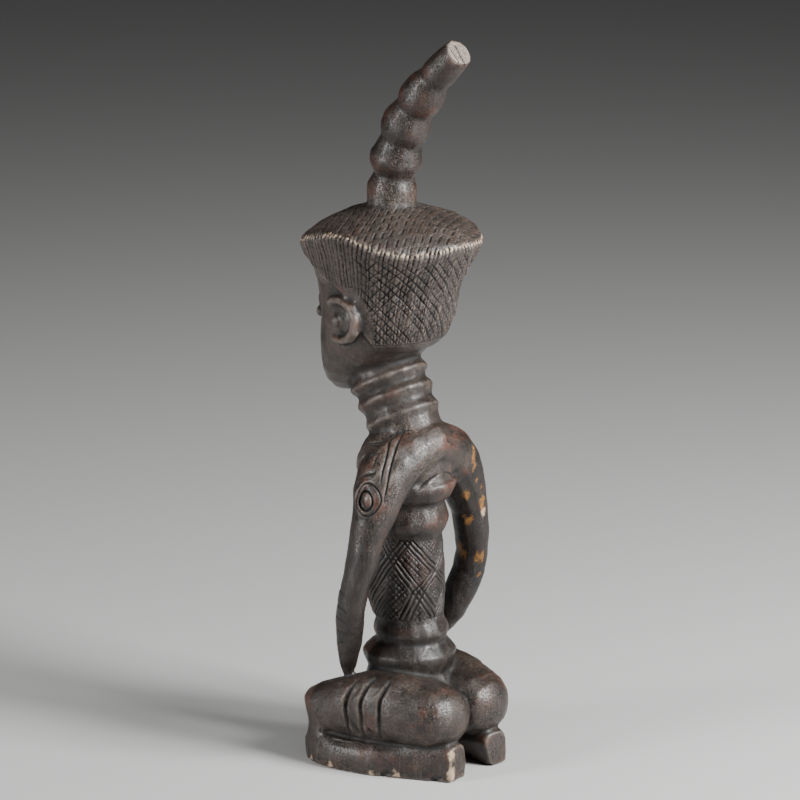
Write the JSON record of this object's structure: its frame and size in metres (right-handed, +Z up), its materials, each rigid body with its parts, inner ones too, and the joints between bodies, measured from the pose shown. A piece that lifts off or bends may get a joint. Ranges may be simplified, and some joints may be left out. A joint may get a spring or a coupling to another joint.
{
  "type": "kuba chief figure",
  "caption": "Kneeling chief carved from one block of dark wood, with a flared hatched coiffure, a ringed horn bent backwards, a ringed neck and long bowed arms.",
  "frame": {"origin": "centre of the figure's bounding box, on the ground under its lower legs", "axes": "+Z up, -Y the way the figure faces, +X to the figure's left"},
  "size_m": [0.1458, 0.1526, 0.5434],
  "materials": {
    "dark_wood": "waxed and rubbed, dusty in the cuts"
  },
  "bodies": {
    "root": {"figure": "dark_wood"}
  },
  "joints": []
}
